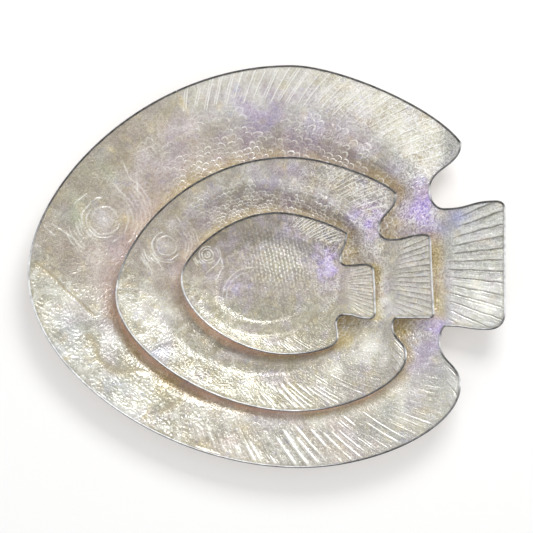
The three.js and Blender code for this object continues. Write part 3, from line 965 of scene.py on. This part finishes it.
def feed(node, inputs):
    """Gives inputs of a node their values, which may be outputs of other nodes."""
    for name, value in inputs.items():
        if isinstance(value, bpy.types.NodeSocket):
            node.id_data.links.new(value, node.inputs[name])
        else:
            node.inputs[name].default_value = value


def add_node(material, kind, inputs=None, **settings):
    """The outputs of a new shader node."""
    node = material.node_tree.nodes.new("ShaderNode" + kind)
    for name, value in settings.items():
        setattr(node, name, value)
    feed(node, inputs or {})
    return node.outputs


def new_material(name):
    """A material and its Principled shader."""
    material = bpy.data.materials.new(name)
    material.use_nodes = True
    return material, material.node_tree.nodes["Principled BSDF"]


def add_noise(material, scale, detail, roughness=0.6, distortion=0.0):
    """A noise texture on the piece's own coordinates."""
    inputs = {"Vector": add_node(material, "TexCoord")["Object"], "Scale": scale, "Detail": detail}
    inputs.update({"Roughness": roughness, "Distortion": distortion})
    return add_node(material, "TexNoise", inputs)["Fac"]


def add_ramp(material, value, stops):
    """A colour ramp with its stops given as place and colour, or place and grey."""
    ramp = material.node_tree.nodes.new("ShaderNodeValToRGB")
    elements = ramp.color_ramp.elements
    while len(elements) < len(stops):
        elements.new(0.5)
    for element, (position, colour) in zip(elements, stops):
        element.position = position
        element.color = (*np.broadcast_to(colour, 3), 1)
    feed(ramp, {"Fac": value})
    return ramp.outputs["Color"]


def add_mix(material, blend, share, first, second):
    """A colour mix; the share may be a number or a socket."""
    inputs = {"Factor": share, "A": first, "B": second}
    return add_node(material, "Mix", inputs, data_type="RGBA", blend_type=blend)["Result"]


def add_bump(material, shader, height, strength):
    """Fine relief that only bends the light, over any bump that is there already."""
    inputs = {"Strength": strength, "Distance": BUMP_DEPTH, "Height": height}
    for link in shader.inputs["Normal"].links:
        inputs["Normal"] = link.from_socket
    feed(shader, {"Normal": add_node(material, "Bump", inputs)["Normal"]})


def set_finish(material, shader, colour, gloss, rough, metallic):
    """Colour, a roughness that follows a noise between two values, and the share of metal."""
    spread = add_ramp(material, gloss, [(0.3, rough[0]), (0.7, rough[1])])
    feed(shader, {"Base Color": colour, "Roughness": spread, "Metallic": metallic})


def make_shell_face():
    """Lacquered pearl, mottled in pastels, crinkled by a bump, with painted crinkle highlights where the
    alpha of its attribute says.
    """
    material, shader = new_material("lacquered_pearl")
    pearl = add_node(material, "Attribute", attribute_name="pearl")
    pastels = [
        (0.30, (0.95, 0.84, 0.84)),
        (0.42, (0.98, 0.96, 0.93)),
        (0.50, (1.0, 1.0, 0.98)),
        (0.58, (0.98, 0.96, 0.80)),
        (0.66, (0.82, 0.80, 1.0)),
        (0.74, (0.80, 0.96, 0.86)),
    ]
    sheen = add_ramp(material, add_noise(material, 110, 5), pastels)
    colour = add_mix(material, "MULTIPLY", 0.5, pearl["Color"], sheen)
    folds = add_noise(material, 330, 2.5, 0.55, distortion=0.8)
    crests = [(0.34, 0.36), (0.44, 0.42), (0.50, 0.95), (0.56, 0.42), (0.66, 0.36)]
    crinkle = add_ramp(material, folds, crests)
    # Painted crinkle highlights, laid over the colour as far as the attribute's alpha says
    colour = add_mix(material, "OVERLAY", pearl["Alpha"], colour, crinkle)
    gloss = add_noise(material, 420, 3)
    set_finish(material, shader, colour, gloss, rough=(0.16, 0.3), metallic=0.22)
    feed(shader, {"IOR": 1.65, "Coat Weight": 0.5, "Coat Roughness": 0.1})
    add_bump(material, shader, add_noise(material, 600, 4), 0.25)
    add_bump(material, shader, crinkle, 0.4)
    return material


shell_face = make_shell_face()
print("Made", shell_face.name)

# %% [markdown]
# The back sheet is satin shell without lacquer, tan and blotched where the layers of the shell show.
# The strip is silver-plated and a little tarnished, so its colour and gloss vary along its length.

# %% Shell back and silver strip
def make_shell_back():
    """Satin shell in tan blotches."""
    material, shader = new_material("satin_shell_back")
    tones = [
        (0.30, (0.60, 0.42, 0.30)),
        (0.48, (0.72, 0.56, 0.43)),
        (0.62, (0.78, 0.66, 0.54)),
        (0.75, (0.66, 0.52, 0.50)),
    ]
    colour = add_ramp(material, add_noise(material, 45, 6), tones)
    gloss = add_noise(material, 300, 3)
    set_finish(material, shader, colour, gloss, rough=(0.4, 0.58), metallic=0.15)
    add_bump(material, shader, add_noise(material, 900, 4), 0.3)
    return material


def make_silver():
    """Tarnished silver, darker where its attribute says: streaks along it, and painted shade where it is
    turned from the light.
    """
    material, shader = new_material("tarnished_silver_strip")
    worn = add_node(material, "Attribute", attribute_name="worn")["Color"]
    tarnish = add_noise(material, 70, 6, 0.65)
    tones = [(0.30, 0.62), (0.5, (0.82, 0.83, 0.84)), (0.68, (0.95, 0.97, 1.0))]
    colour = add_mix(material, "MULTIPLY", 1.0, add_ramp(material, tarnish, tones), worn)
    set_finish(material, shader, colour, tarnish, rough=(0.55, 0.4), metallic=0.4)
    add_bump(material, shader, add_noise(material, 700, 3), 0.15)
    return material


shell_back = make_shell_back()
silver = make_silver()
print("Made", shell_back.name, "and", silver.name)

# %% [markdown]
# ## Pressing a sheet
#
# A pane starts as a grid one unit square. It is extruded one unit up, so that it is a closed block,
# and only its top is subdivided, because the underside is glued down and never seen. The block is
# then pressed: each vertex reads its own three coordinates as a place across, along and through the
# sheet, and moves to where that place lies on the dish. By hand this would be sculpting; the formula
# gives the same relief on every run.

# %% Block and press helpers
FINE_CUTS = 7
SHELL_SHARP = 50
STRIP_SHARP = 40


def new_grid(name, across, along):
    """A flat grid one unit square, round the origin."""
    bpy.ops.object.select_all(action="DESELECT")
    bpy.ops.mesh.primitive_grid_add(x_subdivisions=across, y_subdivisions=along, size=1)
    grid = bpy.context.object
    grid.name = name
    grid.data.name = name
    return grid


def face_outward():
    """Turns all faces of the mesh in edit mode outward, and leaves edit mode."""
    bpy.ops.mesh.select_all(action="SELECT")
    bpy.ops.mesh.normals_make_consistent(inside=False)
    bpy.ops.object.mode_set(mode="OBJECT")


def unit_block(name, across, along, cuts):
    """Closed block one unit each way, whose top may be cut finer than its underside."""
    block = new_grid(name, across, along)
    bpy.ops.object.mode_set(mode="EDIT")
    bpy.ops.mesh.select_all(action="SELECT")
    bpy.ops.transform.translate(value=(0.5, 0.5, 0))
    bpy.ops.mesh.extrude_region_move(TRANSFORM_OT_translate={"value": (0, 0, 1)})
    if cuts:
        bpy.ops.mesh.subdivide(number_cuts=cuts)
    face_outward()
    return block


def read_places(piece):
    """The vertices as one row of numbers for each axis."""
    places = np.empty(3 * len(piece.data.vertices))
    piece.data.vertices.foreach_get("co", places)
    return places.reshape(-1, 3).T


def press(piece, dish, spot, height):
    """Moves the vertices to their spots of the plan and heights on the dish."""
    right, back, up = dish.middle
    placed = np.stack([spot.real + right, spot.imag + back, height + up], axis=1)
    piece.data.vertices.foreach_set("co", (placed * MM).ravel())
    piece.data.update()


def paint(piece, layer, columns):
    """Stores a colour and its alpha at every vertex."""
    attribute = piece.data.attributes.new(layer, "FLOAT_COLOR", "POINT")
    attribute.data.foreach_set("color", np.column_stack(columns).ravel())


def finish_piece(piece, dish, node, material, sharp):
    """Shading, finish and the frame's bookkeeping for one piece."""
    bpy.ops.object.select_all(action="DESELECT")
    piece.select_set(True)
    bpy.context.view_layer.objects.active = piece
    bpy.ops.object.shade_smooth_by_angle(angle=math.radians(sharp))
    piece.data.materials.clear()
    piece.data.materials.append(material)
    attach(piece, dish.name + "_dish")
    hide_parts(node)


print("Fine cells per grid cell:", FINE_CUTS + 1)

# %% [markdown]
# ## Laying out the panes
#
# Most panes are sectors: one edge of the block follows the floor, the opposite one the rim, and the
# two others the seams. The tail pane can't be a sector, because its sides run along the rim, so it is
# stretched between its four edges, which also makes its rows follow the fan of the tail. The floor
# pane maps a square to an oval, with no point where the rows would meet.

# %% Pane layouts
GRID_CELL = 8
HIDDEN_FLOOR_CELL = 1.8
TAIL_SPREAD = 1.15
hand_out({"fine_step": [0.51, 0.43, 0.33]})


def pane_foot(dish, angle):
    """Radius at which the panes of the wall begin, just outside the floor pane."""
    return ellipse_edge(dish.floor, angle) + SEAM / 2


def sector_spots(dish, start, stop, across, along):
    """A sector between two seams."""
    rim = dish.rim
    begin, end = np.interp([start, stop], rim.angle, rim.arc)
    edge = rim_point(rim, begin + (end - begin) * along)
    angle = np.angle(edge)
    foot = pane_foot(dish, angle)
    radius = foot + (np.abs(edge) - foot) * across
    aside = 1j * np.exp(1j * angle) * SEAM / 2 * (1 - 2 * along)
    return radius * np.exp(1j * angle) + aside


def tail_spots(dish, start, stop, across, along):
    """The tail, stretched between the floor, the two seams and the tail's end."""
    rim = dish.rim
    lower_corner, upper_corner = rim.corners
    last = np.interp(stop, rim.angle, rim.arc)

    def side(angle, notch, corner, share):
        foot = pane_foot(dish, angle)
        reach = abs(rim_point(rim, notch))
        seam = np.exp(1j * angle) * (foot + (reach - foot) * np.clip(share / 0.5, 0, 1))
        edge = rim_point(rim, notch + (corner - notch) * np.clip(share / 0.5 - 1, 0, 1))
        return np.where(share < 0.5, seam, edge)

    def floor_line(share):
        angle = start + (stop - start) * share
        return pane_foot(dish, angle) * np.exp(1j * angle)

    def end_line(share):
        return rim_point(rim, lower_corner + (upper_corner - lower_corner) * share)

    low = side(start, 0.0, lower_corner, across)
    high = side(stop, last, upper_corner, across)
    corners = (1 - across) * ((1 - along) * floor_line(0.0) + along * floor_line(1.0))
    corners = corners + across * ((1 - along) * end_line(0.0) + along * end_line(1.0))
    ruled = (1 - along) * low + along * high
    crossed = (1 - across) * floor_line(along) + across * end_line(along)
    return ruled + crossed - corners


def square_to_disc(across, along):
    """The unit square spread to a round with a radius of one."""
    right = 2 * across - 1
    up = 2 * along - 1
    return right * np.sqrt(1 - up * up / 2) + 1j * up * np.sqrt(1 - right * right / 2)


def oval_spots(dish, across, along):
    """The floor's oval, just inside the panes of the wall."""
    disc = square_to_disc(across, along)
    return disc * (ellipse_edge(dish.floor, np.angle(disc)) - SEAM / 2)


def grid_counts(dish, pane, start, stop):
    """How many grid cells a pane has across and along."""
    cell = dish.fine_step * GRID_CELL
    if pane == "floor":
        cell = cell * (1 if dish is SMALL else HIDDEN_FLOOR_CELL)
        return round(2 * dish.floor[0] / cell), round(2 * dish.floor[1] / cell)
    rim = dish.rim
    begin, end = np.interp([start, stop], rim.angle, rim.arc)
    edge = rim.points[(rim.arc >= begin) & (rim.arc <= end)]
    depth = (np.abs(edge) - ellipse_edge(dish.floor, np.angle(edge))).max()
    length = end - begin
    if pane == "tail":
        length = (dish.tail_rise + dish.tail_drop) * TAIL_SPREAD
    return round(depth / cell), round(length / cell)


def make_pane(dish, pane, start, stop):
    """One face pane with its relief and its colours."""
    counts = grid_counts(dish, pane, start, stop)
    piece = unit_block(f"{dish.name}_shell_{pane}", *counts, FINE_CUTS)
    across, along, through = read_places(piece)
    if pane == "floor":
        spot = oval_spots(dish, across, along)
    elif pane == "tail":
        spot = tail_spots(dish, start, stop, across, along)
    else:
        spot = sector_spots(dish, start, stop, across, along)
    where = zones(dish, spot)
    relief = pressed_relief(dish, spot, where)
    height = underside(dish, spot) + np.where(through > 0.5, FACE_TOP + relief, FACE_BOTTOM)
    press(piece, dish, spot, height)
    # The attribute keeps the colours with their painted light and shade, and in its alpha the share of
    # painted crinkle highlights
    paint(piece, "pearl", [pearl_colours(dish, spot, where, relief), where.silk])
    finish_piece(piece, dish, f"{dish.name}_pane_{pane}", shell_face, SHELL_SHARP)
    return piece


for dish in DISHES:
    made = [make_pane(dish, "floor", 0, 0)]
    for pane, start, stop in stretches_of(dish, dish.panes):
        made.append(make_pane(dish, pane, start, stop))
    print(dish.name, "panes:", len(made), "faces:", sum(len(p.data.polygons) for p in made))

# %% [markdown]
# ## The back sheets
#
# Under the panes lies one whole sheet. It is the same kind of block, spread from a square to the
# outline of the fish, with nothing pressed into it but a slight unevenness.

# %% Back sheets
hand_out({"back_cells": [120, 96, 70]})


def make_back(dish):
    """One back sheet, closed round its edge."""
    piece = unit_block(dish.name + "_backing", dish.back_cells, dish.back_cells, cuts=0)
    across, along, through = read_places(piece)
    disc = square_to_disc(across, along)
    spot = disc * rim_reach(dish.rim, np.angle(disc))
    wave = waves(spot, 14, 61) + 0.5 * waves(spot, 6, 62)
    settled = ease(underside(dish, spot), 0.2, 3) * ease(rim_distance(dish, spot), 2, 6)
    uneven = -0.12 * (1 + wave) * settled * (through < 0.5)
    press(piece, dish, spot, underside(dish, spot) + BACK_PLY * through + uneven)
    finish_piece(piece, dish, dish.name + "_back_ply", shell_back, SHELL_SHARP)
    return piece


for dish in DISHES:
    backing = make_back(dish)
    print(backing.name, "faces:", len(backing.data.polygons))

# %% [markdown]
# ## The silver strips
#
# Each strip is a ribbon folded over the edge into a channel. A curve with a bevel profile could make
# it, but the channel has to stay upright while the brim slopes, so a grid is pressed to it: one way
# along the rim, the other round the section. The two long edges of the grid meet and are merged, and
# the ends are capped. The photo shows a dark line where the strip faces the back-fin side, so its
# colour attribute darkens it there.

# %% Strip section and strips
BEAD_STEPS = 12
STRIP_STEP = 1.4
FEWEST_STEPS = 8
GLUE = 0.05
BUTT_GAP = 0.15
SIDE_INSET = 0.3
LOOK_AHEAD = 0.6
MERGE_WITHIN = 1e-6


def strip_section():
    """Closed section of the folded strip: real is outwards, imaginary is up."""
    out = STRIP_FIT + STRIP_SHEET
    half = (out + STRIP_SEEN) / 2
    turn = np.pi * (1 - np.arange(BEAD_STEPS + 1) / BEAD_STEPS)
    flat = np.sqrt(np.abs(np.cos(turn))) * np.sign(np.cos(turn))
    bead = half * flat + 1j * (out - 2 * GLUE) * np.sqrt(np.sin(turn).clip(0)) + (out - half)
    over = bead + 1j * (FACE_TOP + 2 * GLUE)
    under = np.conj(bead)[::-1] - 2j * GLUE
    low = complex(-STRIP_SEEN, -GLUE)
    high = complex(-STRIP_SEEN, FACE_TOP + GLUE)
    side = [complex(out, FACE_TOP - SIDE_INSET), complex(out, SIDE_INSET)]
    inside = [low, low + STRIP_SEEN + STRIP_FIT, high + STRIP_SEEN + STRIP_FIT, high]
    return np.concatenate([over, side, under, inside])


def strip_shade(dish, arc, facing, out, up):
    """How light the silver is: streaks along it, and painted shade from the way that it faces."""
    level = np.zeros(arc.shape)
    on_top = ease(up, FACE_TOP - SIDE_INSET, FACE_TOP)
    upward = ease(facing.imag, 0.0, 0.6)
    # Painted shade on the strip's top where it faces the back-fin side, and where it faces down and right
    dark = np.maximum(upward, 0.85 * ease(facing.real - facing.imag, 1.0, 1.25)) * on_top
    streak = 0.3 * ripple(arc / 3.1, level, 74) + 0.25 * ripple(arc / 9.0, level, 75)
    # Painted shade on the outer part of the top where it faces the belly side
    half = -0.1 if dish is MEDIUM else 0.3 - 0.5 * ease(-facing.imag, 0.75, 0.95)
    outer = 0.85 * ease(out, half, half + 0.4) * on_top * ease(-facing.imag, 0.2, 0.5)
    return np.clip((0.9 - 0.78 * dark + streak * (1 - 0.7 * dark)) * (1 - outer), 0.06, 1)


def make_strip(dish, name, start, stop):
    """One length of strip between two butt joints."""
    rim = dish.rim
    begin, end = np.interp([start, stop], rim.angle, rim.arc)
    section = strip_section()
    count = max(FEWEST_STEPS, round((end - begin) / STRIP_STEP))
    piece = new_grid(f"{dish.name}_edging_{name}", count, len(section))
    lengthwise, round_section, _ = read_places(piece)
    arc = begin + BUTT_GAP + (end - begin - 2 * BUTT_GAP) * (lengthwise + 0.5)
    ahead = rim_point(rim, np.minimum(arc + LOOK_AHEAD, rim.arc[-1]))
    behind = rim_point(rim, np.maximum(arc - LOOK_AHEAD, 0))
    facing = -1j * ((ahead - behind) / np.abs(ahead - behind))
    corner = np.round((round_section + 0.5) * len(section)).astype(int) % len(section)
    out = section[corner].real
    up = section[corner].imag
    level = np.zeros(arc.shape)
    dent = 0.16 * ripple(arc / 6, level, 71) + 0.08 * ripple(arc / 2.2, level, 72)
    inner_edge = ease(-out, 0.0, STRIP_SEEN)
    spot = rim_point(rim, arc) + facing * (out + inner_edge * dent)
    press(piece, dish, spot, underside(dish, spot) + up)
    worn = strip_shade(dish, arc, facing, out, up)
    paint(piece, "worn", [worn, worn, worn, np.ones(len(worn))])
    bpy.ops.object.mode_set(mode="EDIT")
    bpy.ops.mesh.select_all(action="SELECT")
    bpy.ops.mesh.remove_doubles(threshold=MERGE_WITHIN)
    bpy.ops.mesh.select_all(action="DESELECT")
    bpy.ops.mesh.select_non_manifold()
    bpy.ops.mesh.fill_holes(sides=0)
    face_outward()
    finish_piece(piece, dish, f"{dish.name}_strip_{name}", silver, STRIP_SHARP)
    return piece


for dish in DISHES:
    made = [make_strip(dish, *span) for span in stretches_of(dish, dish.strips)]
    print(dish.name, "strips:", len(made), "faces:", sum(len(p.data.polygons) for p in made))

# %% [markdown]
# ## The table
#
# The dishes lie on a white table. It adds a little light of its own for the camera, for mirrors and
# for glass, so that it reads as white while it still takes the dishes' shadow.

# %% Table
TABLE_SIZE = 8
TABLE_DROP = 0.1 * MM
TABLE_WHITE = 0.70
TABLE_GLOW = 0.18


def add_math(material, operation, first, second):
    """A sum of two values in a material."""
    return add_node(material, "Math", {0: first, 1: second}, operation=operation)[0]


def make_table():
    """A plain white table top just under the dishes."""
    bpy.ops.object.select_all(action="DESELECT")
    bpy.ops.mesh.primitive_plane_add(size=TABLE_SIZE, location=(0, 0, -TABLE_DROP))
    table = bpy.context.object
    table.name = "white_table"
    material, shader = new_material("white_table_top")
    ray = add_node(material, "LightPath")
    seen = add_math(material, "MAXIMUM", ray["Is Camera Ray"], ray["Is Glossy Ray"])
    seen = add_math(material, "MAXIMUM", seen, ray["Is Transmission Ray"])
    glow = add_math(material, "MULTIPLY", seen, TABLE_GLOW)
    feed(shader, {
        "Base Color": (TABLE_WHITE, TABLE_WHITE, TABLE_WHITE, 1),
        "Roughness": 0.9,
        "Specular IOR Level": 0.0,
        "Emission Color": (1, 1, 1, 1),
        "Emission Strength": glow,
    })
    table.data.materials.append(material)
    return table


table = make_table()
print("Table:", table.name)

# %% [markdown]
# ## Light
#
# A broad soft light stands on the back-fin side, two weaker ones fill in from the front and the
# right, and the room around is pale. Real shell lets light through. A solid mesh can't, so one large
# lamp overhead, which casts no shadow and isn't mirrored, stands in for that light.

# %% Light
LAMPS = [
    ("key_softbox", (0.32, 0.92, 1.12), 0.7, 0.5, 13.5),
    ("front_softbox", (-0.9, -0.95, 1.1), 0.8, 0.4, 4),
    ("right_softbox", (1.3, 0.1, 1.1), 0.8, 0.4, 1.5),
    ("overhead_softbox", (0.0, 0.0, 2.0), 2.0, 2.0, 19),
]
ROOM_GREY = 0.97
ROOM_STRENGTH = 0.34


def add_softbox(name, place, width, height, power):
    """A rectangular lamp that faces the dishes."""
    bpy.ops.object.light_add(type="AREA", location=place)
    lamp = bpy.context.object
    lamp.name = name
    lamp.data.shape = "RECTANGLE"
    lamp.data.size = width
    lamp.data.size_y = height
    lamp.data.energy = power
    lamp.rotation_euler = (-lamp.location).to_track_quat("-Z", "Y").to_euler()
    lamp.visible_camera = False


for lamp in LAMPS:
    add_softbox(*lamp)
overhead = bpy.data.objects["overhead_softbox"]
overhead.data.use_shadow = False
overhead.data.color = (1.0, 0.99, 0.97)
overhead.visible_glossy = False
world = bpy.data.worlds.new("pale_room")
world.use_nodes = True
room_colour = (ROOM_GREY, ROOM_GREY, ROOM_GREY, 1)
feed(world.node_tree.nodes["Background"], {"Color": room_colour, "Strength": ROOM_STRENGTH})
bpy.context.scene.world = world

# %% [markdown]
# ## Camera
#
# The camera looks straight down. A long lens keeps the view almost without perspective, and the
# height follows from the width of the picture at the level of the rims.

# %% Camera
CAMERA_LENS = 150
SENSOR_WIDTH = 36
FRAME_WIDTH = 0.4255
RIM_LEVEL = 0.03

bpy.ops.object.camera_add(location=(0, 0, 1), rotation=(0, 0, 0))
camera = bpy.context.object
camera.data.lens = CAMERA_LENS
camera.data.sensor_width = SENSOR_WIDTH
camera.location.z = RIM_LEVEL + FRAME_WIDTH * CAMERA_LENS / SENSOR_WIDTH
bpy.context.scene.camera = camera
bpy.context.scene.view_settings.view_transform = "Standard"
print("Camera height", round(camera.location.z, 3))
